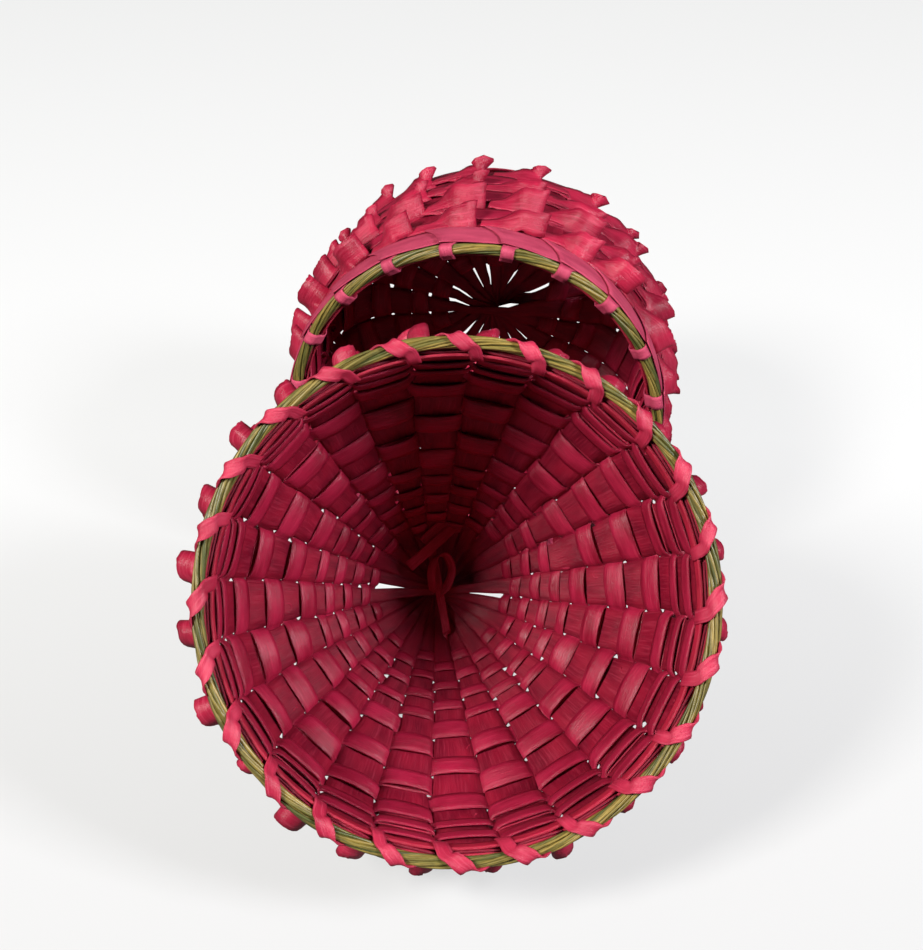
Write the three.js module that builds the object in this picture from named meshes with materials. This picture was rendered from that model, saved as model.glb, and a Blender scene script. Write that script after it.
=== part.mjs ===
// Strawberry basket: a splint basket and its pointed lid, each woven over its own stakes,
// trimmed with standing porcupine curls and bound at the mouth with sweetgrass.
// Millimetres, +Z up. The two pieces lie on a table as two separate bodies, both mouths
// facing -Y: the lid in front on its cone, the basket behind it on its side.
import * as THREE from 'three';

// Splint gauges
const STAKE_THICK = 0.5;
const WEAVER_THICK = 0.5;
const CHASE_THICK = 0.35;
const CURL_THICK = 0.35;
const HOOP_THICK = 0.7;
const LASH_THICK = 0.4;
const WIDE_WIDTH = 6.3;
const FINE_WIDTH = 3.15;
const GRASS_THICK = 3.2;

// Clearances
const SEAT_GAP = 0.15;
const ROW_GAP = 0.35;
const EDGE_GAP = 0.3;
const LID_FIT = 1.1;

// Lid: the pointed half, 24 stakes from 12 crossing splints
const LID_STAKES = 24;
const LID_RIM_RADIUS = 60;
const LID_STAKE_WIDTH = 12.6;
const LID_STAKE_SLIT = 2.2;
const LID_CROSS_WIDTH = 2.35;
const LID_CROSS_RADIUS = 9.5;
const LID_BLEND = 4.5;
const LID_TIP_RISE = 13;
const LID_HOOP_WIDTH = 4.6;
const LID_LASH_WIDTH = 4.1;
const LID_CURL_WIDTH = 5.8;
const LID_CURL_LIFT = 2.6;
const LID_SIDE_ROWS = 4;
const LID_SHOULDER_ROWS = 2;
const LID_CONE_ROWS = 4;
const LID_FINE_ROWS = 7;
const LID_SIDE_SLOPE = 2;
const LID_CONE_SLOPE = 40;
const LID_FINE_SLOPE = 45;

// Basket: the broad half, 20 stakes from 10 crossing splints
const BODY_STAKES = 20;
const BODY_STAKE_WIDTH = 13.6;
const BODY_STAKE_SLIT = 2.2;
const BODY_CROSS_WIDTH = 2.65;
const BODY_CROSS_RADIUS = 9;
const BODY_BLEND = 2.9;
const BODY_STAR_RISE = 1.6;
const BODY_HOOP_WIDTH = 10.5;
const BODY_BINDER_WIDTH = 13.6;
const BODY_BINDER_WAIST = 4.6;
const BODY_CURL_WIDTH = 5.8;
const BODY_CURL_LIFT = 0.5;
const BODY_FLARE_ROWS = 2;
const BODY_BELLY_ROWS = 3;
const BODY_LEAN_ROWS = 2;
const BODY_HEEL_ROWS = 1;
const BODY_CORNER_ROWS = 3;
const BODY_FLOOR_ROWS = 3;
const BODY_BAND_SLOPE = -8;
const BODY_FLARE_SLOPE = -3;
const BODY_BELLY_SLOPE = 0;
const BODY_LEAN_SLOPE = 7;
const BODY_HEEL_SLOPE = 12;
const BODY_FLOOR_SLOPE = 97;

// Rims, curls, the tip loop, and the chase weavers: how many stakes one takes to step over
// two rows, and where it bends beside a stake, as a share of the way to the next
const GRASS_OUTSET = 2;
const RIM_DROP = 1.65;
const CURL_FLARE = 1.25;
const CURL_INSET = 0.1;
const CURL_ROOM = 0.4;
const CURL_SHARE = 0.4;
const CURL_FLAT = 0.14;
const LASH_LEAN = 0.3;
const LASH_FOOT = 1.3;
const LOOP_WIDTH = 2.4;
const LOOP_THICK = 0.4;
const LOOP_HEIGHT = 9;
const LOOP_REACH = 13.2;
const CHASE_STEP = 4;
const CHASE_BEND = 0.45;

// How the two pieces lie
const LID_TILT = 35.6;
const LID_YAW = -4.9;
const BODY_TILT = 1.5;
const BODY_YAW = 5.4;
const MOUTH_SPACING = 109;
const MOUTH_SIDE_STEP = 4.4;

const COLOURS = {
  stake: 0x9c1230,
  weaver: 0xb3173a,
  curl: 0xd42c52,
  hoop: 0xb81d42,
  grass: 0x7c7a35,
  lash: 0xcf3159,
};

const radians = (degrees) => THREE.MathUtils.degToRad(degrees);

const STAKE_SEAT = STAKE_THICK / 2 + SEAT_GAP + WEAVER_THICK / 2;
const LIP_RADIUS = GRASS_THICK / 2 + SEAT_GAP + LASH_THICK;

// Stake surface radius at each mouth. The basket's rim slips inside the lid's.
const LID_MOUTH = LID_RIM_RADIUS - GRASS_OUTSET;
const LID_CLEAR = LID_MOUTH - STAKE_SEAT - CURL_THICK - CURL_ROOM - WEAVER_THICK / 2;
const BODY_RIM_RADIUS = LID_CLEAR - LID_FIT - LIP_RADIUS;
const BODY_MOUTH = BODY_RIM_RADIUS - GRASS_OUTSET;

// A wall is a profile of radius and depth behind the mouth, one vertex at each row edge.
function makeWall(mouthRadius, rimLength, rimSlope, sections) {
  const wall = { points: [[mouthRadius, 0]], starts: [0], rows: [] };
  const advance = (length, slope) => {
    const [r, z] = wall.points.at(-1);
    wall.points.push([
      r - length * Math.sin(radians(slope)),
      z + length * Math.cos(radians(slope)),
    ]);
    wall.starts.push(wall.starts.at(-1) + length);
  };
  advance(rimLength, rimSlope);
  for (const { count, width, from, to } of sections) {
    for (let i = 0; i < count; i += 1) {
      const start = wall.starts.at(-1);
      advance(width + ROW_GAP, from + ((to - from) * (i + 1)) / (count + 1));
      wall.rows.push({ middle: start + (width + ROW_GAP) / 2, width });
    }
  }
  wall.length = wall.starts.at(-1);
  return wall;
}

function pointAt(wall, s) {
  const last = wall.points.length - 2;
  let i = wall.starts.findIndex((start) => start > s) - 1;
  if (i < 0) i = s <= 0 ? 0 : last;
  const share = (s - wall.starts[i]) / (wall.starts[i + 1] - wall.starts[i]);
  const [r0, z0] = wall.points[i];
  const [r1, z1] = wall.points[i + 1];
  return [r0 + (r1 - r0) * share, z0 + (z1 - z0) * share];
}

// Where a flat strip of this width lies across the wall: its chord, and how far the wall
// bulges outside that chord.
function chordAt(wall, s, width) {
  const a = pointAt(wall, s - width / 2);
  const b = pointAt(wall, s + width / 2);
  const length = Math.hypot(b[0] - a[0], b[1] - a[1]);
  const tangent = [(b[0] - a[0]) / length, (b[1] - a[1]) / length];
  const normal = [tangent[1], -tangent[0]];
  const middle = [(a[0] + b[0]) / 2, (a[1] + b[1]) / 2];
  const bulge = Math.max(0, ...wall.points.map(([r, z], i) => {
    const inside = wall.starts[i] > s - width / 2 && wall.starts[i] < s + width / 2;
    return inside ? (r - middle[0]) * normal[0] + (z - middle[1]) * normal[1] : 0;
  }));
  return { middle, tangent, normal, bulge };
}

const spin = ([r, z], angle) => new THREE.Vector3(r * Math.cos(angle), r * Math.sin(angle), z);

// A flat strip through a list of stations, each with a point, the direction of its width
// and its width. The two faces share their diagonals, so a twisted strip keeps its gauge.
function strip(stations, thickness, closed) {
  const count = stations.length;
  const positions = [];
  const indices = [];
  stations.forEach(({ point, side, width }, i) => {
    const before = stations[closed ? (i + count - 1) % count : Math.max(i - 1, 0)].point;
    const after = stations[closed ? (i + 1) % count : Math.min(i + 1, count - 1)].point;
    const back = point.clone().sub(before);
    const ahead = after.clone().sub(point);
    if (back.lengthSq() === 0) back.copy(ahead);
    if (ahead.lengthSq() === 0) ahead.copy(back);
    back.normalize();
    ahead.normalize();
    const along = back.clone().add(ahead).normalize();
    const across = side.clone().normalize();
    const up = new THREE.Vector3().crossVectors(along, across).normalize();
    const mitre = Math.min(1.5, 1 / Math.max(0.5, along.dot(ahead)));
    for (const [w, h] of [[1, 1], [-1, 1], [-1, -1], [1, -1]]) {
      const corner = point.clone()
        .addScaledVector(across, (w * width) / 2)
        .addScaledVector(up, (h * mitre * thickness) / 2);
      positions.push(corner.x, corner.y, corner.z);
    }
  });
  const spans = closed ? count : count - 1;
  for (let i = 0; i < spans; i += 1) {
    const a = i * 4;
    const b = ((i + 1) % count) * 4;
    for (let k = 0; k < 4; k += 1) {
      const next = (k + 1) % 4;
      if (k === 0) indices.push(a + k, b + next, a + next, a + k, b + k, b + next);
      else if (k === 2) indices.push(a + k, b + k, a + next, a + next, b + k, b + next);
      else indices.push(a + k, b + k, b + next, a + k, b + next, a + next);
    }
  }
  if (!closed) {
    const end = (count - 1) * 4;
    indices.push(0, 1, 2, 0, 2, 3);
    indices.push(end, end + 2, end + 1, end, end + 3, end + 2);
  }
  return facingOut(positions, indices);
}

function facingOut(positions, indices) {
  let volume = 0;
  const corner = (i) => new THREE.Vector3().fromArray(positions, indices[i] * 3);
  for (let i = 0; i < indices.length; i += 3) {
    volume += corner(i).dot(new THREE.Vector3().crossVectors(corner(i + 1), corner(i + 2)));
  }
  if (volume < 0) indices.reverse();
  const geometry = new THREE.BufferGeometry();
  geometry.setAttribute('position', new THREE.Float32BufferAttribute(positions, 3));
  geometry.setIndex(indices);
  geometry.computeVertexNormals();
  return geometry;
}

// A stake is cut to fill its share of the wall at every height, less the room that a weaver
// needs to pass between two stakes. In the star it tapers on to the crossing.
function stakeWidth(piece, s) {
  const { wall, stakes, stakeSlit } = piece;
  const widthAt = (at) => {
    const pitch = (pointAt(wall, at)[0] * 2 * Math.PI) / stakes;
    return Math.min(piece.stakeWidth, pitch - stakeSlit);
  };
  if (s <= wall.length) return widthAt(s);
  const share = (s - wall.length) / (piece.starRadius - piece.crossRadius);
  return widthAt(wall.length) + (piece.crossWidth - widthAt(wall.length)) * Math.min(1, share);
}

// One splint: up one wall, across the star of crossing splints, and up the other wall.
// In the star each splint has its own level, and outside it they all share the wall.
function splint(piece, index) {
  const { wall, stakes, crossRadius, blend, crossWidth } = piece;
  const angle = (index * 2 * Math.PI) / stakes;
  const level = (index - (stakes / 2 - 1) / 2) * (STAKE_THICK + SEAT_GAP);
  const [rimRadius, rimDepth] = pointAt(wall, RIM_DROP);
  const profile = [{ at: [rimRadius, rimDepth], width: stakeWidth(piece, RIM_DROP) }];
  wall.points.forEach((at, i) => {
    if (i === 0) return;
    const before = wall.points[i - 1];
    const after = wall.points[i + 1];
    const straight = after && Math.abs(
      (at[0] - before[0]) * (after[1] - at[1]) - (at[1] - before[1]) * (after[0] - at[0]),
    ) < 1e-6;
    if (!straight) profile.push({ at, width: stakeWidth(piece, wall.starts[i]) });
  });
  const [edgeRadius, edgeDepth] = wall.points.at(-1);
  const starDepth = (r) => edgeDepth + piece.starRise * (1 - r / edgeRadius);
  const blendRadius = crossRadius + blend;
  const atRadius = (r) => stakeWidth(piece, wall.length + edgeRadius - r);
  profile.push({ at: [blendRadius, starDepth(blendRadius)], width: atRadius(blendRadius) });
  profile.push({ at: [crossRadius, starDepth(crossRadius) + level], width: crossWidth });
  const side = new THREE.Vector3(-Math.sin(angle), Math.cos(angle), 0);
  const near = profile.map(({ at, width }) => ({ point: spin(at, angle), side, width }));
  const far = profile.map(({ at, width }) => ({
    point: spin([-at[0], at[1]], angle),
    side,
    width,
  }));
  const flat = starDepth(crossRadius) + level;
  const centre = { point: spin([0, flat], angle), side, width: crossWidth };
  return strip([...near, centre, ...far.reverse()], STAKE_THICK, false);
}

// How far from a stake's middle a weaver bends off its face.
function reachAt(piece, s) {
  return stakeWidth(piece, s) / 2 + EDGE_GAP;
}

// A station on the plane of a stake's face, just past the stake's edge on one side (-1 or 1).
// Its width runs with that edge, so the slit keeps its room over the strip's whole width.
function onStake(piece, s, angle, offset, which, width, inset = 0) {
  const chord = chordAt(piece.wall, s, width);
  const station = onChord(chord, angle, offset + Math.sign(offset) * chord.bulge, width);
  const round = new THREE.Vector3(-Math.sin(angle), Math.cos(angle), 0);
  const near = reachAt(piece, s - width / 2);
  const far = reachAt(piece, s + width / 2);
  station.point.addScaledVector(round, which * ((near + far) / 2 - inset));
  station.side.addScaledVector(round, (which * (far - near)) / width);
  return station;
}

// A weaver lies flat against the inside of one stake and flat against the outside of the
// next, and changes sides in the slit between them.
function hoop(piece, row, phase, innerSeat) {
  const stations = [];
  for (let i = 0; i < piece.stakes; i += 1) {
    const angle = (i * 2 * Math.PI) / piece.stakes;
    const offset = (i + phase) % 2 === 0 ? STAKE_SEAT : -innerSeat;
    stations.push(onStake(piece, row.middle, angle, offset, -1, row.width));
    stations.push(onStake(piece, row.middle, angle, offset, 1, row.width));
  }
  return strip(stations, WEAVER_THICK, true);
}

function onChord(chord, angle, offset, width) {
  const { middle, normal, tangent } = chord;
  return {
    point: spin([middle[0] + normal[0] * offset, middle[1] + normal[1] * offset], angle),
    side: spin(tangent, angle),
    width,
  };
}

// Two narrow weavers chase each other round an even number of stakes. Each keeps its row for
// most of a turn and then steps over two rows, past the place where the other pair began.
function chaseWeaver(piece, firstRow, which) {
  const rows = piece.wall.rows.slice(firstRow);
  const { width } = rows[0];
  const turns = Math.ceil((rows.length - which) / 2);
  const stepAt = piece.stakes - CHASE_STEP;
  const passes = (turns - 1) * piece.stakes + stepAt + 1;
  const pitch = width + ROW_GAP;
  const step = (2 * Math.PI) / piece.stakes;
  const seat = STAKE_THICK / 2 + SEAT_GAP + CHASE_THICK / 2;
  const stations = [];
  for (let i = 0; i < passes; i += 1) {
    const turn = Math.floor(i / piece.stakes);
    const offset = (i + which) % 2 === 0 ? seat : -seat;
    for (const end of [-1, 1]) {
      const along = (i % piece.stakes) + end * CHASE_BEND;
      const ahead = turn < turns - 1 ? Math.max(0, along - stepAt) / CHASE_STEP : 0;
      const s = rows[0].middle + pitch * (which + 2 * (turn + ahead));
      stations.push(onStake(piece, s, i * step, offset, end, width));
    }
  }
  return strip(stations, CHASE_THICK, false);
}

// A porcupine strip runs with its row's weaver, under one stake and over the next. It comes
// up out of every gap as a standing curl, with the edge nearest the closed end raised.
function curlStrip(piece, row, phase) {
  const s = row.middle;
  const chord = chordAt(piece.wall, s, row.width);
  const step = (2 * Math.PI) / piece.stakes;
  const under = -(STAKE_THICK / 2 + SEAT_GAP + CURL_THICK / 2);
  const over = STAKE_SEAT + WEAVER_THICK / 2 + SEAT_GAP + CURL_THICK / 2;
  const width = Math.min(piece.curlWidth, CURL_SHARE * step * chord.middle[0]);
  const crestWidth = width * CURL_FLARE;
  const crestHeight = over + piece.curlLift + crestWidth * Math.SQRT1_2 / 2;
  const crest = (turn) => {
    const station = onChord(chord, turn, crestHeight, crestWidth);
    station.side.add(spin(chord.normal, turn)).normalize();
    return station;
  };
  const stations = [];
  for (let i = phase + 1; i < piece.stakes + phase + 1; i += 2) {
    const angle = i * step;
    stations.push(onStake(piece, s, angle, under, -1, width, CURL_INSET));
    stations.push(onStake(piece, s, angle, under, 1, width, CURL_INSET));
    stations.push(crest(angle + 0.5 * step));
    stations.push(onChord(chord, angle + (1 - CURL_FLAT) * step, over, width));
    stations.push(onChord(chord, angle + (1 + CURL_FLAT) * step, over, width));
    stations.push(crest(angle + 1.5 * step));
  }
  return strip(stations, CURL_THICK, true);
}

// A rim hoop: a band just inside or just outside the stakes, with a flat on each of them.
function rimHoop(piece, offset, width) {
  const chord = chordAt(piece.wall, RIM_DROP + width / 2, width);
  const step = (2 * Math.PI) / piece.stakes;
  const spread = (chord.middle[0] + offset) * (1 / Math.cos(step / 2) - 1);
  const stations = [];
  for (let i = 0; i < piece.stakes; i += 1) {
    stations.push(onChord(chord, (i + 0.5) * step, offset + spread, width));
  }
  return strip(stations, HOOP_THICK, true);
}

// The sweetgrass bundle laid on the rim, six-sided in section.
function grassRing(piece) {
  const sides = 6;
  const outline = [];
  for (let i = 0; i <= sides; i += 1) {
    const angle = ((i + 0.5) * 2 * Math.PI) / sides;
    outline.push(new THREE.Vector2(
      piece.rimRadius + (GRASS_THICK / 2) * Math.cos(angle),
      (GRASS_THICK / 2) * Math.sin(angle),
    ));
  }
  outline[sides].copy(outline[0]);
  const ring = new THREE.LatheGeometry(outline, piece.stakes);
  ring.rotateX(Math.PI / 2);
  return ring;
}

// The strip that binds the rim: up the inside, over the grass, down the outside on a long
// diagonal to the next gap between stakes, and in under the hoops.
function binder(piece, { hoopWidth, outside, width, waist, steps }) {
  const step = (2 * Math.PI) / piece.stakes;
  const half = LASH_THICK / 2;
  const foot = RIM_DROP + hoopWidth + SEAT_GAP + half;
  const [footRadius, footDepth] = pointAt(piece.wall, foot);
  const inside = STAKE_THICK / 2 + SEAT_GAP + HOOP_THICK + SEAT_GAP + half;
  const lip = GRASS_THICK / 2 + SEAT_GAP + half;
  const mouth = piece.rimRadius - GRASS_OUTSET;
  const stations = [];
  const place = (r, z, angle, stripWidth) => {
    const side = new THREE.Vector3(-Math.sin(angle), Math.cos(angle), 0);
    stations.push({ point: spin([r, z], angle), side, width: stripWidth });
  };
  for (let i = 0; i < piece.stakes; i += 1) {
    const angle = (i + 0.5) * step;
    const lean = LASH_LEAN * step;
    place(footRadius - inside, footDepth, angle, LASH_FOOT);
    place(mouth - inside, RIM_DROP - lip * 0.4, angle, waist);
    place(mouth + lip * 0.45, -lip * 1.26, angle + lean * 0.5, waist);
    place(piece.rimRadius + lip * 1.28, -lip * 0.56, angle + lean, waist);
    for (let k = 1; k <= steps; k += 1) {
      const share = k / (steps + 1);
      const r = piece.rimRadius + lip * 1.28
        + (footRadius + outside - piece.rimRadius - lip * 1.28) * share;
      const z = -lip * 0.56 + (footDepth + lip * 0.56) * share;
      place(r, z, angle + lean + (step - lean) * share, width);
    }
    place(footRadius + outside, footDepth, angle + step, LASH_FOOT);
  }
  return strip(stations, LASH_THICK, true);
}

// The loop at the lid's point: one strip that crosses the star inside, goes out through
// two opposite slits between stakes, and arches over outside as a small handle. Its bends
// are set out in strip widths.
function tipLoop(piece) {
  const { wall, stakes, starRise } = piece;
  const [edgeRadius, edgeDepth] = wall.points.at(-1);
  const stack = ((stakes / 2 - 1) / 2) * (STAKE_THICK + SEAT_GAP) + STAKE_THICK / 2;
  const starAt = (u) => edgeDepth + starRise * (1 - u / edgeRadius);
  const seat = SEAT_GAP + LOOP_THICK / 2;
  const inner = starAt(piece.crossRadius) - stack - seat - SEAT_GAP;
  const elbow = starAt(LOOP_REACH) - STAKE_THICK - SEAT_GAP - seat;
  const angle = ((stakes / 4 - 0.5) * 2 * Math.PI) / stakes;
  const along = new THREE.Vector3(Math.cos(angle), Math.sin(angle), 0);
  const across = new THREE.Vector3(-Math.sin(angle), Math.cos(angle), 0);
  const diagonal = along.clone().add(across).normalize();
  const top = starAt(piece.crossRadius) + stack + LOOP_HEIGHT;
  const half = [
    [LOOP_REACH - 1.5 * LOOP_WIDTH, inner, across],
    [LOOP_REACH - 0.5 * LOOP_WIDTH, elbow, diagonal],
    [LOOP_REACH, elbow + 0.3 * LOOP_WIDTH, along],
    [LOOP_REACH, elbow + 1.7 * LOOP_WIDTH, along],
    [LOOP_REACH - LOOP_WIDTH / 3, elbow + 2.5 * LOOP_WIDTH, diagonal],
    [LOOP_REACH - 1.5 * LOOP_WIDTH, top - 1.4 * LOOP_WIDTH, across],
    [LOOP_REACH * 0.36, top, across],
  ];
  const station = ([u, z, side], sign) => ({
    point: along.clone().multiplyScalar(u * sign).setZ(z),
    side: side === diagonal && sign < 0 ? across.clone().sub(along).normalize() : side.clone(),
    width: LOOP_WIDTH,
  });
  const right = half.map((entry) => station(entry, 1));
  const left = half.map((entry) => station(entry, -1)).reverse();
  right.concat(left).forEach((entry, i, all) => {
    if (i > 0 && entry.side.dot(all[i - 1].side) < 0) entry.side.negate();
  });
  return strip([...right, ...left], LOOP_THICK, true);
}

const lid = {
  stakes: LID_STAKES,
  rimRadius: LID_RIM_RADIUS,
  stakeWidth: LID_STAKE_WIDTH,
  stakeSlit: LID_STAKE_SLIT,
  crossWidth: LID_CROSS_WIDTH,
  crossRadius: LID_CROSS_RADIUS,
  blend: LID_BLEND,
  starRise: LID_TIP_RISE,
  curlWidth: LID_CURL_WIDTH,
  curlLift: LID_CURL_LIFT,
  wall: makeWall(LID_MOUTH, RIM_DROP + LID_HOOP_WIDTH + LASH_THICK + 2 * SEAT_GAP, LID_SIDE_SLOPE, [
    { count: LID_SIDE_ROWS, width: WIDE_WIDTH, from: LID_SIDE_SLOPE, to: LID_SIDE_SLOPE },
    { count: LID_SHOULDER_ROWS, width: WIDE_WIDTH, from: LID_SIDE_SLOPE, to: LID_CONE_SLOPE },
    { count: LID_CONE_ROWS, width: WIDE_WIDTH, from: LID_CONE_SLOPE, to: LID_CONE_SLOPE },
    { count: LID_FINE_ROWS, width: FINE_WIDTH, from: LID_FINE_SLOPE, to: LID_FINE_SLOPE },
  ]),
};
lid.starRadius = lid.wall.points.at(-1)[0];

const body = {
  stakes: BODY_STAKES,
  rimRadius: BODY_RIM_RADIUS,
  stakeWidth: BODY_STAKE_WIDTH,
  stakeSlit: BODY_STAKE_SLIT,
  crossWidth: BODY_CROSS_WIDTH,
  crossRadius: BODY_CROSS_RADIUS,
  blend: BODY_BLEND,
  starRise: BODY_STAR_RISE,
  curlWidth: BODY_CURL_WIDTH,
  curlLift: BODY_CURL_LIFT,
  wall: makeWall(BODY_MOUTH, RIM_DROP + BODY_HOOP_WIDTH + LASH_THICK + 2 * SEAT_GAP, BODY_BAND_SLOPE, [
    { count: BODY_FLARE_ROWS, width: WIDE_WIDTH, from: BODY_FLARE_SLOPE, to: BODY_FLARE_SLOPE },
    { count: BODY_BELLY_ROWS, width: WIDE_WIDTH, from: BODY_BELLY_SLOPE, to: BODY_BELLY_SLOPE },
    { count: BODY_LEAN_ROWS, width: WIDE_WIDTH, from: BODY_LEAN_SLOPE, to: BODY_LEAN_SLOPE },
    { count: BODY_HEEL_ROWS, width: WIDE_WIDTH, from: BODY_HEEL_SLOPE, to: BODY_HEEL_SLOPE },
    { count: BODY_CORNER_ROWS, width: WIDE_WIDTH, from: BODY_HEEL_SLOPE, to: BODY_FLOOR_SLOPE },
    { count: BODY_FLOOR_ROWS, width: WIDE_WIDTH, from: BODY_FLOOR_SLOPE, to: BODY_FLOOR_SLOPE },
  ]),
};
body.starRadius = body.wall.points.at(-1)[0];

const material = (colour, roughness) => (
  new THREE.MeshStandardMaterial({ color: colour, roughness, metalness: 0 })
);

function add(group, name, geometry, colour, roughness = 0.55) {
  const mesh = new THREE.Mesh(geometry, material(colour, roughness));
  mesh.name = name;
  group.add(mesh);
}

function weave(group, piece, name, wideRows) {
  for (let i = 0; i < piece.stakes / 2; i += 1) {
    add(group, `${name}_splint_${i + 1}`, splint(piece, i), COLOURS.stake);
  }
  const curlSeat = STAKE_SEAT + CURL_THICK + CURL_ROOM;
  for (let i = 0; i < wideRows; i += 1) {
    const curled = i % 2 === 0;
    const row = piece.wall.rows[i];
    add(group, `${name}_weaver_${i + 1}`, hoop(piece, row, i % 2, curled ? curlSeat : STAKE_SEAT),
      COLOURS.weaver);
    if (curled) {
      add(group, `${name}_curl_strip_${i / 2 + 1}`, curlStrip(piece, row, i % 2), COLOURS.curl, 0.45);
    }
  }
}

// Lays a piece down: its axis points away from the viewer, its closed end tilted down and
// turned, and its lowest point on the table.
function layDown(piece, tilt, yaw, x, y) {
  const tilted = new THREE.Group();
  tilted.rotation.x = -radians(90 + tilt);
  tilted.add(piece);
  const placed = new THREE.Group();
  placed.rotation.z = -radians(yaw);
  placed.add(tilted);
  placed.updateMatrixWorld(true);
  placed.position.set(x, y, -new THREE.Box3().setFromObject(placed, true).min.z);
  return placed;
}

const lidGroup = new THREE.Group();
weave(lidGroup, lid, 'lid', LID_SIDE_ROWS + LID_SHOULDER_ROWS + LID_CONE_ROWS);
const lidWide = LID_SIDE_ROWS + LID_SHOULDER_ROWS + LID_CONE_ROWS;
add(lidGroup, 'lid_tip_weaver_a', chaseWeaver(lid, lidWide, 0), COLOURS.weaver);
add(lidGroup, 'lid_tip_weaver_b', chaseWeaver(lid, lidWide, 1), COLOURS.weaver);
const hoopSeat = STAKE_THICK / 2 + SEAT_GAP + HOOP_THICK / 2;
add(lidGroup, 'lid_inner_hoop', rimHoop(lid, -hoopSeat, LID_HOOP_WIDTH), COLOURS.hoop);
add(lidGroup, 'lid_outer_hoop', rimHoop(lid, hoopSeat, LID_HOOP_WIDTH), COLOURS.hoop);
add(lidGroup, 'lid_sweetgrass', grassRing(lid), COLOURS.grass, 0.7);
add(lidGroup, 'lid_lashing', binder(lid, {
  hoopWidth: LID_HOOP_WIDTH,
  outside: STAKE_THICK / 2 + 3 * SEAT_GAP + HOOP_THICK + LASH_THICK,
  width: LID_LASH_WIDTH,
  waist: LID_LASH_WIDTH,
  steps: 0,
}), COLOURS.lash, 0.45);
add(lidGroup, 'lid_tip_loop', tipLoop(lid), COLOURS.lash, 0.45);

const bodyGroup = new THREE.Group();
const bodyWide = BODY_FLARE_ROWS + BODY_BELLY_ROWS + BODY_LEAN_ROWS;
weave(bodyGroup, body, 'basket', bodyWide);
add(bodyGroup, 'basket_base_weaver_a', chaseWeaver(body, bodyWide, 0), COLOURS.weaver);
add(bodyGroup, 'basket_base_weaver_b', chaseWeaver(body, bodyWide, 1), COLOURS.weaver);
add(bodyGroup, 'basket_inner_hoop', rimHoop(body, -hoopSeat, BODY_HOOP_WIDTH), COLOURS.hoop);
add(bodyGroup, 'basket_sweetgrass', grassRing(body), COLOURS.grass, 0.7);
add(bodyGroup, 'basket_rim_binder', binder(body, {
  hoopWidth: BODY_HOOP_WIDTH,
  outside: STAKE_THICK / 2 + SEAT_GAP + LASH_THICK,
  width: BODY_BINDER_WIDTH,
  waist: BODY_BINDER_WAIST,
  steps: 1,
}), COLOURS.lash, 0.45);

const basket = new THREE.Group();
basket.add(layDown(bodyGroup, BODY_TILT, BODY_YAW, MOUTH_SIDE_STEP, MOUTH_SPACING));
basket.add(layDown(lidGroup, LID_TILT, LID_YAW, 0, 0));
const middle = new THREE.Box3().setFromObject(basket, true).getCenter(new THREE.Vector3());
basket.children.forEach((piece) => piece.position.sub(middle.setZ(0)));

export default basket;
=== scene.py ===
import math

import bpy
import numpy as np
from mathutils import Matrix, Vector


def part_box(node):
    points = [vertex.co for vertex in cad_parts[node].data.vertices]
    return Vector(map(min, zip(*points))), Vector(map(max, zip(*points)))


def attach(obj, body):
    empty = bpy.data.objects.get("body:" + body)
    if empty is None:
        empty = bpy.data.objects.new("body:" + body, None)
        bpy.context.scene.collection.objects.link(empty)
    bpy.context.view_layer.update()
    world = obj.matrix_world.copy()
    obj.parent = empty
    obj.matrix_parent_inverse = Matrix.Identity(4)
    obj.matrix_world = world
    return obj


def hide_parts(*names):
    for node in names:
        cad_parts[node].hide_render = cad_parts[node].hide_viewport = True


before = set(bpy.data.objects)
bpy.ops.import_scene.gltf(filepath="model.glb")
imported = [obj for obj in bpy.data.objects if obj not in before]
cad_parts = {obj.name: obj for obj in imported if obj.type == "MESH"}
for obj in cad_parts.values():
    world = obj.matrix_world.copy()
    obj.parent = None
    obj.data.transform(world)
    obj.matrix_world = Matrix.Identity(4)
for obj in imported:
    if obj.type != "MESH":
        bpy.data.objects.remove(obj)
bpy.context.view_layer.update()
MM = 0.001
rng = np.random.default_rng(1907)

# Gauges and layout, in millimetres, as in the solids
STAKE_THICK = 0.5
WEAVER_THICK = 0.5
CURL_THICK = 0.35
CHASE_THICK = 0.35
HOOP_THICK = 0.7
LASH_THICK = 0.4
ROW_GAP = 0.35
SEAT_GAP = 0.15
RIM_DROP = 1.65
GRASS_THICK = 3.2
GRASS_OUTSET = 2.0
CURL_ROOM = 0.4
LID_FIT = 1.1
LID_MOUTH = 58.0
FINE_WIDTH = 3.15
WIDE_WIDTH = 6.3
LOOP_REACH = 13.2
LOOP_HEIGHT = 9
STAKE_SEAT = STAKE_THICK / 2 + SEAT_GAP + WEAVER_THICK / 2
LIP_RADIUS = GRASS_THICK / 2 + SEAT_GAP + LASH_THICK
BODY_MOUTH = LID_MOUTH - STAKE_SEAT - CURL_THICK - CURL_ROOM - WEAVER_THICK / 2 - LID_FIT \
    - LIP_RADIUS - GRASS_OUTSET

# How the smoothed wall is sampled, in millimetres, and over how many samples it is smoothed
WALL_STEP = 0.25
WALL_RUN_ON = 12.0
WALL_BLUR = 27
SLOPE_REACH = 0.5

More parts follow.
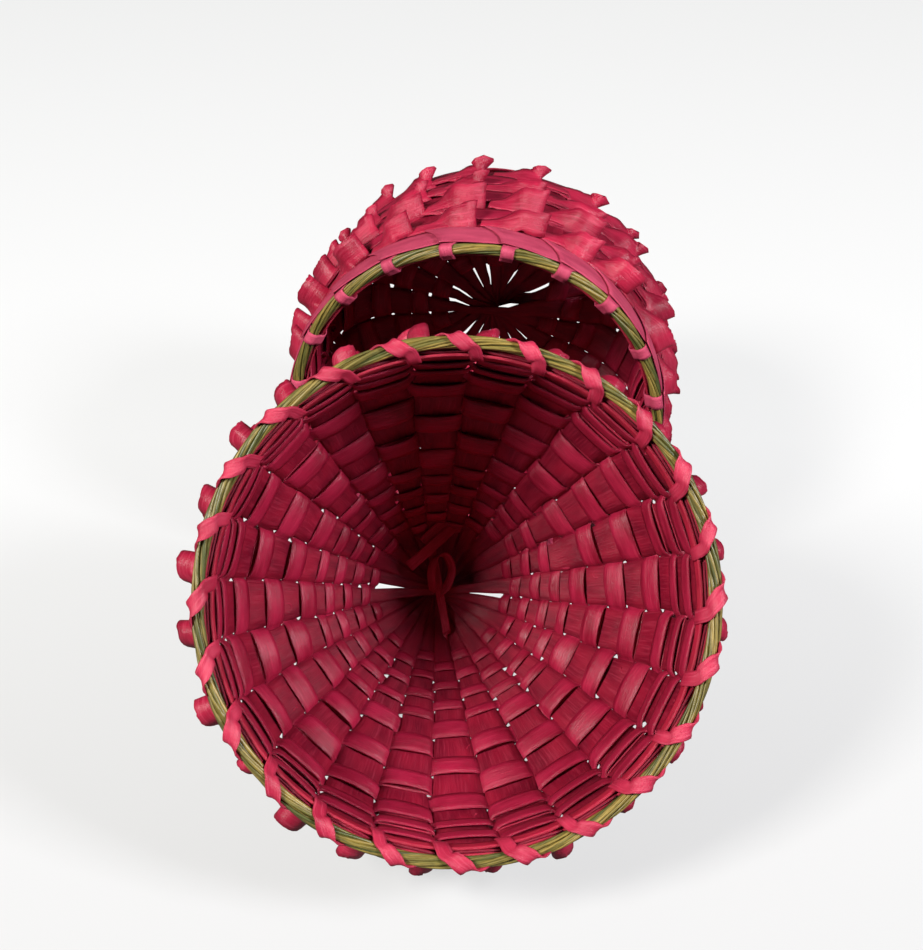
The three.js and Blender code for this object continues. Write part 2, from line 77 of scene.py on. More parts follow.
# Slits between two stakes: width in the star, and the star's few others by number. Below zero the
# two stakes lap. Along the wall a slit wanders and is mostly narrow, and it calms near the star
STAR_SLIT = {"lid": (-0.5, -0.35), "basket": (-0.8, -0.5)}
OPEN_SLIT = {"lid": {0: 1.25, 12: 1.5},
             "basket": {2: 0.5, 3: 0.45, 4: 0.6, 5: 0.75, 6: 0.5, 7: 0.95, 9: 0.45, 10: 1.1,
                        11: 0.9, 13: 0.8, 14: 0.9, 16: 0.7, 18: 1.0,
                        19: -2.6}}
SLIT_STEP = 7.0
SLIT_WANDER = 0.55
SLIT_BIAS = 3
WALL_SLIT = (0.1, 2.1)
CALM_LENGTH = 12
STAKE_ROOM = 0.5


class Piece:
    """One half of the basket: its wall profile, its stakes and where it lies."""

    def __init__(self, name, stakes, mouth, stake_width, cross_width, cross_radius, blend,
                 star_rise, hoop_width, rim_slope, sections, tilt, yaw):
        self.name = name
        self.stakes = stakes
        self.step = 2 * math.pi / stakes
        self.rim_radius = mouth + GRASS_OUTSET
        self.stake_width = stake_width
        self.cross_width = cross_width
        self.cross_radius = cross_radius
        self.blend = blend
        self.star_rise = star_rise
        self.hoop_width = hoop_width
        points = [(mouth, 0.0)]
        starts = [0.0]

        def advance(length, slope):
            r, z = points[-1]
            slope = math.radians(slope)
            points.append((r - length * math.sin(slope), z + length * math.cos(slope)))
            starts.append(starts[-1] + length)

        advance(RIM_DROP + hoop_width + LASH_THICK + 2 * SEAT_GAP, rim_slope)
        self.rows = []
        for count, width, first, last in sections:
            for i in range(count):
                start = starts[-1]
                advance(width + ROW_GAP, first + (last - first) * (i + 1) / (count + 1))
                self.rows.append((start + (width + ROW_GAP) / 2, width))
        self.length = starts[-1]
        self.edge = points[-1]
        fine = np.arange(-WALL_RUN_ON, self.length + WALL_RUN_ON, WALL_STEP)
        inner = np.clip(fine, 0, self.length)
        corner = np.array(points)
        r = np.interp(inner, starts, corner[:, 0])
        z = np.interp(inner, starts, corner[:, 1])
        before = fine < 0
        after = fine > self.length
        first = (corner[1] - corner[0]) / (starts[1] - starts[0])
        last = (corner[-1] - corner[-2]) / (starts[-1] - starts[-2])
        r[before] += first[0] * fine[before]
        z[before] += first[1] * fine[before]
        r[after] += last[0] * (fine[after] - self.length)
        z[after] += last[1] * (fine[after] - self.length)
        kernel = np.hanning(WALL_BLUR)
        kernel /= kernel.sum()
        cut = WALL_BLUR // 2
        self.fine = fine[cut:-cut]
        self.fine_r = np.convolve(r, kernel, mode="valid")
        self.fine_z = np.convolve(z, kernel, mode="valid")
        low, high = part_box(f"{name}_sweetgrass")
        origin = (low + high) / 2
        turn = Matrix.Rotation(-math.radians(yaw), 4, "Z")
        tip = Matrix.Rotation(-math.radians(90 + tilt), 4, "X")
        self.matrix = np.array(Matrix.Translation(origin) @ turn @ tip)

    def wall(self, s):
        """Radius, depth and unit slope of the wall at a length along it from the mouth."""
        s = np.asarray(s, float)
        r = np.interp(s, self.fine, self.fine_r)
        z = np.interp(s, self.fine, self.fine_z)
        after, before = s + SLOPE_REACH, s - SLOPE_REACH
        dr = np.interp(after, self.fine, self.fine_r) - np.interp(before, self.fine, self.fine_r)
        dz = np.interp(after, self.fine, self.fine_z) - np.interp(before, self.fine, self.fine_z)
        length = np.hypot(dr, dz)
        return r, z, dr / length, dz / length

    def at(self, angle, s, offset=0.0, shift=0.0):
        """Point, wall tangent and outward normal in the piece's own frame."""
        r, z, tr, tz = self.wall(s)
        radius = r + tz * offset + tr * shift
        depth = z - tr * offset + tz * shift
        ca, sa = np.cos(angle), np.sin(angle)
        point = np.stack([radius * ca, radius * sa, depth + 0 * ca], -1)
        tangent = np.stack([tr * ca, tr * sa, tz + 0 * ca], -1)
        normal = np.stack([tz * ca, tz * sa, -tr + 0 * ca], -1)
        return point, tangent, normal

    def split(self):
        """Seeds the slits: how far each wanders and how wide it is along the wall."""
        count = int(self.length / SLIT_STEP) + 2
        self.slit_s = np.arange(count) * SLIT_STEP
        self.slit_shift = rng.uniform(-SLIT_WANDER, SLIT_WANDER, (self.stakes, count))
        low, high = WALL_SLIT
        spread = rng.uniform(0, 1, (self.stakes, count)) ** SLIT_BIAS
        self.slit_gap = low + (high - low) * spread
        self.star_gap = rng.uniform(*STAR_SLIT[self.name], self.stakes)
        for number, gap in OPEN_SLIT[self.name].items():
            self.star_gap[number] = gap

    def slit_at(self, number, s):
        """Shift and width of one slit."""
        number %= self.stakes
        calm = np.clip((self.length - s) / CALM_LENGTH, 0, 1)
        shift = np.interp(s, self.slit_s, self.slit_shift[number]) * calm
        gap = np.interp(s, self.slit_s, self.slit_gap[number])
        return shift, gap * calm + self.star_gap[number] * (1 - calm)

    def stake_at(self, number, s, radius):
        """Both edges of a stake from its middle: the wall's share less its slits, then a taper."""
        half = np.minimum(self.stake_width + STAKE_ROOM, self.wall(s)[0] * self.step) / 2
        share = np.clip((self.edge[0] - radius) / (self.edge[0] - self.cross_radius), 0, 1)
        edges = []
        for slit, sign in ((number - 1, -1), (number, 1)):
            shift, gap = self.slit_at(slit, np.minimum(s, self.length))
            star_gap = self.star_gap[slit % self.stakes]
            on_wall = half - gap / 2 + sign * shift
            at_edge = self.edge[0] * self.step / 2 - star_gap / 2
            at_cross = self.cross_width / 2 - min(star_gap, 0) / 2
            in_star = at_edge + (at_cross - at_edge) * share
            edges.append(sign * np.where(s < self.length, on_wall, in_star))
        return edges


# Sections run from the rim down: rows, width of a row, first and last slope in degrees
LID = Piece("lid", stakes=24, mouth=LID_MOUTH, stake_width=13.4, cross_width=2.35,
            cross_radius=9.5, blend=4.5, star_rise=13.0, hoop_width=4.6, rim_slope=2,
            sections=[(4, WIDE_WIDTH, 2, 2), (2, WIDE_WIDTH, 2, 40), (4, WIDE_WIDTH, 40, 40),
                      (7, FINE_WIDTH, 45, 45)],
            tilt=35.6, yaw=-4.9)
BODY = Piece("basket", stakes=20, mouth=BODY_MOUTH, stake_width=14.2, cross_width=2.65,
             cross_radius=9.0, blend=2.9, star_rise=1.6, hoop_width=10.5, rim_slope=-8,
             sections=[(2, WIDE_WIDTH, -3, -3), (3, WIDE_WIDTH, 0, 0), (2, WIDE_WIDTH, 7, 7),
                       (1, WIDE_WIDTH, 12, 12), (3, WIDE_WIDTH, 12, 97),
                       (3, WIDE_WIDTH, 97, 97)],
             tilt=1.5, yaw=5.4)
LID.split()
BODY.split()


# Materials

def nodes_of(name):
    material = bpy.data.materials.new(name)
    material.use_nodes = True
    tree = material.node_tree
    return material, tree, tree.nodes["Principled BSDF"]


def mix_colour(tree, factor, a, b):
    node = tree.nodes.new("ShaderNodeMix")
    node.data_type = "RGBA"
    sockets = [s for s in node.inputs if s.type == "RGBA"]
    for socket, value in zip(sockets, (a, b)):
        if isinstance(value, tuple):
            socket.default_value = (*value, 1)
        else:
            tree.links.new(value, socket)
    tree.links.new(factor, node.inputs[0])
    return [s for s in node.outputs if s.type == "RGBA"][0]


def noise(tree, vector, stretch, detail, roughness):
    mapping = tree.nodes.new("ShaderNodeMapping")
    mapping.inputs["Scale"].default_value = stretch
    tree.links.new(vector, mapping.inputs["Vector"])
    node = tree.nodes.new("ShaderNodeTexNoise")
    node.inputs["Scale"].default_value = 1.0
    node.inputs["Detail"].default_value = detail
    node.inputs["Roughness"].default_value = roughness
    tree.links.new(mapping.outputs["Vector"], node.inputs["Vector"])
    return node.outputs["Fac"]


def ramp(tree, value, low, high, first=0.0, last=1.0):
    node = tree.nodes.new("ShaderNodeMapRange")
    node.inputs["From Min"].default_value = low
    node.inputs["From Max"].default_value = high
    node.inputs["To Min"].default_value = first
    node.inputs["To Max"].default_value = last
    node.clamp = True
    tree.links.new(value, node.inputs["Value"])
    return node.outputs["Result"]


def bump(tree, height, strength, distance, over=None):
    """Relief from a height, laid over another one if that is given. Distances are in metres."""
    node = tree.nodes.new("ShaderNodeBump")
    node.inputs["Strength"].default_value = strength
    node.inputs["Distance"].default_value = distance
    tree.links.new(height, node.inputs["Height"])
    if over is not None:
        tree.links.new(over, node.inputs["Normal"])
    return node.outputs["Normal"]


def ash(name, base, deep, pale, gloss):
    """Dyed ash splint: long grain, growth streaks and uneven dye. UVs are in centimetres."""
    material, tree, shader = nodes_of(name)
    uv = tree.nodes.new("ShaderNodeUVMap").outputs["UV"]
    streak = noise(tree, uv, (1.1, 26.0, 1.0), 4.0, 0.6)
    fibre = noise(tree, uv, (6.0, 150.0, 1.0), 3.0, 0.65)
    dye = noise(tree, uv, (0.9, 1.6, 1.0), 2.0, 0.5)
    colour = mix_colour(tree, ramp(tree, dye, 0.34, 0.66), deep, base)
    colour = mix_colour(tree, ramp(tree, streak, 0.5, 0.78, 0.0, 0.7), colour, pale)
    colour = mix_colour(tree, ramp(tree, fibre, 0.52, 0.76, 0.0, 0.7), colour, deep)
    tree.links.new(colour, shader.inputs["Base Color"])
    tree.links.new(ramp(tree, streak, 0.3, 0.75, gloss - 0.07, gloss + 0.12),
                   shader.inputs["Roughness"])
    coarse = bump(tree, streak, 0.6, 0.0003)
    tree.links.new(bump(tree, fibre, 0.5, 0.0002, coarse), shader.inputs["Normal"])
    shader.inputs["Specular IOR Level"].default_value = 0.4
    return material


def grass_material(name, dry, green, painted_gap_shade):
    """Dried sweetgrass: strands that run from green to straw, with near-black streaks along them
    that are painted shade for the gaps between strands.
    """
    material, tree, shader = nodes_of(name)
    uv = tree.nodes.new("ShaderNodeUVMap").outputs["UV"]
    patch = noise(tree, uv, (0.35, 1.0, 1.0), 2.0, 0.5)
    fibre = noise(tree, uv, (3.0, 40.0, 1.0), 3.0, 0.6)
    colour = mix_colour(tree, ramp(tree, patch, 0.38, 0.62), green, dry)
    # Near-black streaks along each strand: painted shade for the gaps between strands
    colour = mix_colour(tree, ramp(tree, fibre, 0.46, 0.7, 0.0, 0.9), colour, painted_gap_shade)
    tree.links.new(colour, shader.inputs["Base Color"])
    tree.links.new(bump(tree, fibre, 0.5, 0.0001), shader.inputs["Normal"])
    shader.inputs["Roughness"].default_value = 0.4
    shader.inputs["Specular IOR Level"].default_value = 0.5
    return material


STAKE = ash("stake_splint", base=(0.28, 0.007, 0.028), deep=(0.15, 0.003, 0.016),
            pale=(0.42, 0.03, 0.07), gloss=0.40)
WEAVER = ash("weaver_splint", base=(0.40, 0.013, 0.053), deep=(0.22, 0.004, 0.022),
             pale=(0.60, 0.04, 0.10), gloss=0.34)
CURL = ash("curl_splint", base=(0.46, 0.015, 0.054), deep=(0.26, 0.006, 0.027),
           pale=(0.68, 0.08, 0.15), gloss=0.34)
HOOP = ash("hoop_splint", base=(0.48, 0.010, 0.045), deep=(0.30, 0.004, 0.025),
           pale=(0.68, 0.10, 0.12), gloss=0.45)
BINDING = ash("binding_splint", base=(0.52, 0.030, 0.075), deep=(0.36, 0.012, 0.042),
              pale=(0.66, 0.09, 0.16), gloss=0.42)
PLATE = ash("plate_splint", base=(0.56, 0.062, 0.13), deep=(0.40, 0.03, 0.08),
            pale=(0.58, 0.09, 0.16), gloss=0.6)
# Sweetgrass colours: dry straw, green, and near-black painted shade for the gaps between strands
GRASS = grass_material("sweetgrass", dry=(0.30, 0.21, 0.045), green=(0.075, 0.085, 0.018),
                       painted_gap_shade=(0.014, 0.018, 0.006))


# Mesh making

# The grain that each piece is cut from, along and across, and how much further on its back lies,
# in centimetres
GRAIN_LONG = 200
GRAIN_WIDE = 60
GRAIN_BACK = 3.7

# A splint's edges are thinner by this share. How far they are drawn in, and how long the two waves
# of their wander are, in millimetres
EDGE_EASE = 0.14
EDGE_IN = 0.02
WANDER_LONG = 3.0
WANDER_SHORT = 0.7


def smooth_path(values, closed, parts, period=0):
    """Catmull-Rom through rows of numbers, with so many parts between two of them. A closed path
    comes round to its first row again, with a period added to it."""
    values = np.asarray(values, float)
    count = len(values)

    def row(i):
        if closed:
            return values[i % count] + period * (i // count)
        return values[min(max(i, 0), count - 1)]

    out = []
    for i in range(count if closed else count - 1):
        p0, p1, p2, p3 = (row(i + k) for k in (-1, 0, 1, 2))
        for k in range(parts):
            t = k / parts
            out.append(0.5 * (2 * p1 + (p2 - p0) * t + (2 * p0 - 5 * p1 + 4 * p2 - p3) * t * t
                              + (3 * p1 - p0 - 3 * p2 + p3) * t ** 3))
    if not closed:
        out.append(values[-1])
    return np.array(out)


def unit(v):
    return v / np.maximum(np.linalg.norm(v, axis=-1, keepdims=True), 1e-9)


class Mesh:
    """Collects strips, strands and sheets in one piece's frame, then makes one object."""

    def __init__(self):
        self.points = []
        self.faces = []
        self.uvs = []
        self.count = 0

    def loft(self, rings, u, v, closed):
        """Rings of points joined to a skin. u runs along and v round, in centimetres."""
        n, k, _ = rings.shape
        self.points.append(rings.reshape(-1, 3))
        base = self.count
        self.count += n * k
        spans = n if closed else n - 1
        for i in range(spans):
            j = (i + 1) % n
            u0, u1 = u[i], u[i + 1] if i + 1 < len(u) else u[i] + (u[1] - u[0])
            for a in range(k):
                b = (a + 1) % k
                self.faces.append((base + i * k + a, base + i * k + b,
                                   base + j * k + b, base + j * k + a))
                self.uvs.append(((u0, v[a]), (u0, v[a + 1]), (u1, v[a + 1]), (u1, v[a])))
        if not closed:
            for i, order in ((0, range(k - 1, -1, -1)), (n - 1, range(k))):
                self.faces.append(tuple(base + i * k + a for a in order))
                self.uvs.append(tuple((u[min(i, len(u) - 1)], v[a]) for a in order))

    def strip(self, points, sides, widths, thickness, closed=False, crown=0.0, fray=0.05,
              parts=5):
        """A flat splint with eased edges, a slight crown and edges that wander a little."""
        points = np.asarray(points, float)
        n = len(points)
        widths = np.broadcast_to(np.asarray(widths, float), (n,)).copy()
        if closed:
            along = np.roll(points, -1, 0) - np.roll(points, 1, 0)
        else:
            along = np.gradient(points, axis=0)
        along = unit(along)
        sides = unit(np.asarray(sides, float))
        sides = unit(sides - along * np.sum(sides * along, -1, keepdims=True))
        ups = np.cross(along, sides)
        lengths = path_lengths(points)
        wander = [smooth_noise(lengths, WANDER_LONG, closed) * fray
                  + smooth_noise(lengths, WANDER_SHORT, closed) * fray * 0.5 for _ in range(2)]
        half = thickness / 2
        across = np.linspace(-1, 1, parts)
        outline = []
        for face, order in ((half, across), (-half, across[::-1])):
            for w in order:
                thin = 1 - EDGE_EASE if abs(w) == 1 else 1
                outline.append((w, face * thin, crown * (1 - w * w)))
        rings = np.empty((n, len(outline), 3))
        for a, (w, height, arch) in enumerate(outline):
            reach = w * widths / 2
            if abs(w) == 1:
                edge = wander[0] if w < 0 else wander[1]
                reach = reach + w * edge - w * EDGE_IN
            rings[:, a] = points + sides * reach[:, None] + ups * (height + arch)
        v0 = rng.uniform(0, GRAIN_WIDE)
        u0 = rng.uniform(0, GRAIN_LONG)
        half_width = float(np.mean(widths)) / 20
        v = [v0 + w * half_width + (0 if height > 0 else GRAIN_BACK) for w, height, _ in outline]
        v.append(v[0])
        u = u0 + lengths / 10
        if closed:
            u = np.append(u, u[-1] + np.linalg.norm(points[0] - points[-1]) / 10)
        self.loft(rings, u, v, closed)

    def ring(self, points, radius, sides=6):
        """A thin round strand that closes on itself."""
        n = len(points)
        along = unit(np.roll(points, -1, 0) - np.roll(points, 1, 0))
        axis = np.array([0, 0, 1.0]) + 0 * along
        first = unit(np.cross(along, axis))
        second = np.cross(along, first)
        rings = np.empty((n, sides, 3))
        for a in range(sides):
            turn = 2 * math.pi * a / sides
            rings[:, a] = points + (first * math.cos(turn) + second * math.sin(turn)) \
                * radius[:, None]
        u = rng.uniform(0, GRAIN_LONG) + path_lengths(points) / 10
        u = np.append(u, u[-1] + np.linalg.norm(points[0] - points[-1]) / 10)
        v0 = rng.uniform(0, GRAIN_WIDE)
        v = [v0 + a * float(np.mean(radius)) / 10 for a in range(sides + 1)]
        self.loft(rings, u, v, True)

    def sheet(self, grid, thickness):
        """A thin shell on a grid of points, with its grain along the second direction."""
        n, k, _ = grid.shape
        normal = unit(np.cross(np.gradient(grid, axis=1), np.gradient(grid, axis=0)))
        skins = (grid + normal * thickness / 2, grid - normal * thickness / 2)
        base = self.count
        self.points += [skin.reshape(-1, 3) for skin in skins]
        self.count += 2 * n * k
        u0 = rng.uniform(0, GRAIN_LONG)
        v0 = rng.uniform(0, GRAIN_WIDE)
        size = np.linalg.norm(grid[:, 1:] - grid[:, :-1], axis=-1).max() / 10
        tall = np.linalg.norm(grid[1:] - grid[:-1], axis=-1).max() / 10

        def face(corners, places):
            self.faces.append(corners)
            self.uvs.append(tuple((u0 + b * size, v0 + a * tall) for a, b in places))

        for a in range(n - 1):
            for b in range(k - 1):
                corner = base + a * k + b
                places = ((a, b), (a, b + 1), (a + 1, b + 1), (a + 1, b))
                quad = (corner, corner + 1, corner + k + 1, corner + k)
                face(quad, places)
                face(tuple(q + n * k for q in quad[::-1]), places[::-1])
        rim = [(0, b) for b in range(k)]
        rim += [(a, k - 1) for a in range(1, n)]
        rim += [(n - 1, b) for b in range(k - 2, -1, -1)]
        rim += [(a, 0) for a in range(n - 2, 0, -1)]
        for (a, b), (c, d) in zip(rim, rim[1:] + rim[:1]):
            first, second = base + a * k + b, base + c * k + d
            face((second, first, first + n * k, second + n * k), ((c, d), (a, b), (a, b), (c, d)))

    def make(self, name, piece, material, replaces):
        """One object of all that was collected, in place of the solids that it dresses."""
        points = np.vstack(self.points)
        matrix = piece.matrix
        world = (points @ matrix[:3, :3].T) * MM + matrix[:3, 3]
        mesh = bpy.data.meshes.new(name)
        mesh.from_pydata([tuple(p) for p in world], [], self.faces)
        layer = mesh.uv_layers.new(name="UVMap")
        flat = np.array([value for face in self.uvs for corner in face for value in corner])
        layer.data.foreach_set("uv", flat)
        mesh.polygons.foreach_set("use_smooth", [True] * len(mesh.polygons))
        mesh.materials.append(material)
        obj = bpy.data.objects.new(name, mesh)
        bpy.context.scene.collection.objects.link(obj)
        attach(obj, piece.name)
        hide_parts(*replaces)


def path_lengths(points):
    """Length along a path from its first point to each of its points."""
    steps = np.linalg.norm(np.diff(points, axis=0), axis=1)
    return np.concatenate([[0], np.cumsum(steps)])


def smooth_noise(lengths, cell, closed):
    """Seeded one-dimensional noise, -1 to 1, along a path."""
    total = max(lengths[-1], 1e-6)
    count = max(int(total / cell), 3)
    values = rng.uniform(-1, 1, count + 1)
    if closed:
        values[-1] = values[0]
    t = lengths / total * count
    i = np.minimum(t.astype(int), count - 1)
    f = t - i
    f = f * f * (3 - 2 * f)
    return values[i] * (1 - f) + values[i + 1] * f


# Weave

# How far off the wall's middle a wide weaver lies: outside, inside, and inside on a curled row
HOOP_OVER = 0.68
HOOP_UNDER = 0.72
HOOP_UNDER_CURL = 1.25

# A wide weaver's drift and what it is wider than its solid, in millimetres, and its bow over a
# stake as a share of the pitch, on the first rows and on the others
HOOP_DRIFT = 0.32
HOOP_SPREAD = 0.25
FIRST_ROWS = 5
FIRST_BOW = 0.018
HOOP_BOW = 0.045

# The same for the chasing weavers. Their drift is a share of their width and a fixed part, and
# their ends run past the last stake by the tuck, in pitches. They step to their next row over so
# many stakes
CHASE_OVER = 0.56
CHASE_UNDER = 0.58
CHASE_DRIFT = (0.03, 0.08)
CHASE_SPREAD = 0.2
CHASE_BOW = 0.05
CHASE_TUCK = 0.62
CHASE_STEP = 4

# Height of a full curl over the wall on each curled row, in millimetres
CURL_HEIGHT = {"lid": (4.9, 4.8, 4.6, 4.2, 3.8), "basket": (3.6, 2.9, 1.8, 1.2)}

# How far a curl runs along its row, as a share of CURL_PATH
CURL_REACH = {"lid": 0.66, "basket": 1.0}

# Most that a weaver leans on a stake, in radians, and its share on the first rows
BRICK_TILT = 0.16
FLAT_ROWS = 4
FLAT_SHARE = 0.4

# A pass's bow as a share of the usual one. Its width: a fixed share, and a part that each pass
# draws for itself
HOOP_BOW_RANGE = (0.6, 1.25)
CHASE_BOW_RANGE = (0.6, 1.3)
NARROW_SHARE = 0.9
NARROW_PART = 0.1
NARROW_RANGE = (0.3, 1.4)

# Where a weaver is set out on a stake, in pitches from its middle, closer where it dives
WEAVE_STEPS = (-0.5, -0.465, -0.425, -0.34, -0.18, 0.0, 0.18, 0.34, 0.425, 0.465)

# How steeply a weaver dives between two stakes: a fixed part, and a part for each mm of pitch
DIVE = (2.2, 0.22)

# A weaver's bow on a stake: its share outside and inside, and how sharply it falls off
BOW_OUT = 0.45
BOW_IN = -1.0
BOW_POWER = 1.4


def weave(piece, u, phase, s, over, under, bow):
    """Offset of a weaver that lies over flat stakes, bows on each and dives between them."""
    stake = np.round(u)
    share = u - stake
    rise = np.maximum(np.cos(math.pi * share), 0)
    outside = (stake + phase) % 2 == 0
    radius = piece.wall(s)[0]
    steep = DIVE[0] + DIVE[1] * radius * piece.step
    flat = radius * (1 / np.cos(share * piece.step) - 1)
    seat = np.where(outside, over, -under) * np.tanh(steep * rise)
    return seat + flat + bow * np.where(outside, BOW_OUT, BOW_IN) * rise ** BOW_POWER


def per_stake(u, low, high):
    """One seeded value for each stake that a weaver passes."""
    count = int(np.max(np.round(u))) + 2
    return rng.uniform(low, high, count)[np.round(u).astype(int)]


def brick(u, tangent, normal, tilt=BRICK_TILT):
    """Width direction and share of width of a weaver. Each pass leans and has its own width."""
    rise = np.cos(math.pi * (u - np.round(u))) ** 0.5
    lean = (per_stake(u, -tilt, tilt) * rise)[:, None]
    share = NARROW_SHARE + NARROW_PART * rise * per_stake(u, *NARROW_RANGE)
    return tangent * np.cos(lean) + normal * np.sin(lean), share


def per_slit(u, reach, period=0):
    """A seeded drift that is fixed in each slit and runs straight from one to the next."""
    count = int(np.ceil(np.max(u))) + 3
    values = rng.uniform(-reach, reach, count)
    if period:
        values[period] = values[0]
    return np.interp(u, np.arange(count) - 0.5, values)


def all_round(passes):
    """The places of a weaver over so many stakes, in pitches."""
    return (passes[:, None] + np.array(WEAVE_STEPS)[None, :]).ravel()


def hoops(piece, wide_rows):
    """The wide weavers, one closed ring on each row, with a curled strip on every other one."""
    for i in range(wide_rows):
        s, width = piece.rows[i]
        curled = i % 2 == 0
        u = all_round(np.arange(piece.stakes))
        pitch = float(piece.wall(s)[0]) * piece.step
        bow = per_stake(u, *HOOP_BOW_RANGE) * (FIRST_BOW if i < FIRST_ROWS else HOOP_BOW) * pitch
        under = HOOP_UNDER_CURL if curled else HOOP_UNDER
        offset = weave(piece, u, i % 2, np.full_like(u, s), HOOP_OVER, under, bow)
        drift = per_slit(u, HOOP_DRIFT, piece.stakes)
        point, tangent, normal = piece.at(u * piece.step, s + drift, offset)
        tilt = BRICK_TILT * (FLAT_SHARE if i < FLAT_ROWS else 1)
        side, share = brick(u, tangent, normal, tilt)
        mesh = Mesh()
        mesh.strip(point, side, (width + HOOP_SPREAD) * share, WEAVER_THICK, True, crown=-0.04,
                   fray=0.09)
        mesh.make(f"{piece.name}_weaver_{i + 1}_splint", piece, WEAVER,
                  [f"{piece.name}_weaver_{i + 1}"])
        if curled:
            curls(piece, i, s, pitch)


# A curl's full width, the height that stands it fully on edge, and where its strip runs off the
# wall's middle: outside, inside, at the foot of a curl, and its width there, all in millimetres
CURL_FULL = 7.3
CURL_UPRIGHT = 3.4
CURL_OVER = 1.25
CURL_UNDER = 0.46
CURL_SEAT = 1.1
CURL_RUN_WIDTH = 5.6

# One curl, from where it leaves the wall to where it is tucked under: along the row in
# pitches, height, towards the closed end, roll in degrees and share of the full width
CURL_PATH = (
    (-0.60, 0.12, 0.0, 0, 0.66),
    (-0.34, 0.18, -0.2, 12, 0.80),
    (-0.12, 0.50, -0.7, 44, 0.98),
    (0.05, 0.92, -1.4, 66, 1.10),
    (0.24, 0.99, -1.7, 71, 1.12),
    (0.42, 0.95, -0.7, 73, 1.12),
    (0.47, 0.84, 1.2, 70, 1.12),
    (0.32, 0.62, 2.6, 58, 1.02),
    (0.06, 0.28, 1.7, 30, 0.84),
    (-0.12, 0.08, 0.8, 8, 0.68),
)


# What each curl draws for itself: height, width and reach as shares, more or less roll out of
# CURL_TURN_FULL, a slide along the row in pitches, and a lean to the closed end in millimetres
CURL_TALL = (0.6, 1.2)
CURL_WIDE = (0.78, 1.14)
CURL_LONG = (0.72, 1.1)
CURL_TURN = (-20, 12)
CURL_TURN_FULL = 50
CURL_SLIDE = (-0.1, 0.1)
CURL_SKEW = (-1.2, 1.2)


def curls(piece, row, s, pitch):
    """The porcupine strip: a flat run with the weaver and a rolled standing curl in each gap."""
    full = min(CURL_FULL, 0.42 * pitch + 0.5)
    high = CURL_HEIGHT[piece.name][row // 2] * full / CURL_FULL
    stand = min(high / CURL_UPRIGHT, 1)
    mesh = Mesh()
    u = all_round(np.arange(piece.stakes))
    flat = weave(piece, u, row % 2, np.full_like(u, s), CURL_OVER, CURL_UNDER, 0.0)
    point, tangent, _ = piece.at(u * piece.step, s, flat)
    mesh.strip(point, tangent, min(CURL_RUN_WIDTH, full), CURL_THICK, True, fray=0.1)
    for k in range(piece.stakes):
        tall = rng.uniform(*CURL_TALL)
        wide = rng.uniform(*CURL_WIDE)
        reach = rng.uniform(*CURL_LONG) * CURL_REACH[piece.name]
        turn = rng.uniform(*CURL_TURN)
        slide = rng.uniform(*CURL_SLIDE)
        skew = rng.uniform(*CURL_SKEW)
        keys = np.array(CURL_PATH)
        keys[:, 0] = keys[:, 0] * reach + slide
        keys[:, 1] = CURL_SEAT + (keys[:, 1] - 0.1) * high * tall
        keys[:, 2] += skew * keys[:, 1] / high
        keys[:, 3] += turn * keys[:, 3] / CURL_TURN_FULL
        keys[:, 4] *= full * wide
        along, rise, shift, roll, widths = smooth_path(keys, False, 5).T
        angle = (k + 0.5 + along) * piece.step
        point, tangent, normal = piece.at(angle, s, rise, shift)
        roll = np.radians(roll * stand)[:, None]
        side = tangent * np.cos(roll) + normal * np.sin(roll)
        mesh.strip(point, side, widths, CURL_THICK, False, crown=0.04, fray=0.34)
    mesh.make(f"{piece.name}_curl_{row // 2 + 1}_splint", piece, CURL,
              [f"{piece.name}_curl_strip_{row // 2 + 1}"])


def chase(piece, first_row, names):
    """Two weavers that follow each other in a spiral, a row apart, to the star."""
    rows = piece.rows[first_row:]
    width = rows[0][1]
    share_drift, fixed_drift = CHASE_DRIFT
    for which, label in enumerate(names):
        turns = math.ceil((len(rows) - which) / 2)
        step_at = piece.stakes - CHASE_STEP
        passes = (turns - 1) * piece.stakes + step_at + 1
        u = all_round(np.arange(-1, passes + 1))
        u = u[(u >= -CHASE_TUCK) & (u <= passes - 1 + CHASE_TUCK)]
        turn = np.floor(u / piece.stakes)
        ahead = np.clip(u % piece.stakes - step_at, 0, None) / CHASE_STEP
        s = rows[0][0] + (width + ROW_GAP) * (which + 2 * (turn + ahead))
        pitch = piece.wall(s)[0] * piece.step
        bow = per_stake(u, *CHASE_BOW_RANGE) * CHASE_BOW * pitch
        offset = weave(piece, u, which, s, CHASE_OVER, CHASE_UNDER, bow)
        s = s + per_slit(u, share_drift * width + fixed_drift)
        point, tangent, normal = piece.at(u * piece.step, s, offset)
        side, share = brick(u, tangent, normal)
        mesh = Mesh()
        mesh.strip(point, side, (width + CHASE_SPREAD) * share, CHASE_THICK, False, crown=-0.03,
                   fray=0.06, parts=4)
        mesh.make(f"{piece.name}_{label}_splint", piece, WEAVER,
                  [f"{piece.name}_{label}"])


# How far a stake sways away from a wide weaver, over this share of the weaver's width. How far it
# lies before or behind its neighbour in the star, from so far before the star on. Then the step
# between two of its stations, where they end before the star, its uneven edge, and how far inside
# the crossing's radius it is at its narrowest. All but the share are in millimetres
STAKE_SWAY = 0.14
SWAY_SHARE = 0.42
STAR_LAP = 0.14
LAP_LENGTH = 6
STAKE_STATION = 1.6
STAKE_END = 1.0
STAKE_FRAY = 0.1
CROSS_INSET = 1.2


def star_depth(piece, radius):
    """Depth of the star's middle level: it runs on from the wall's edge to the centre."""
    edge_r, edge_z = piece.edge
    return edge_z + piece.star_rise * (1 - radius / edge_r)


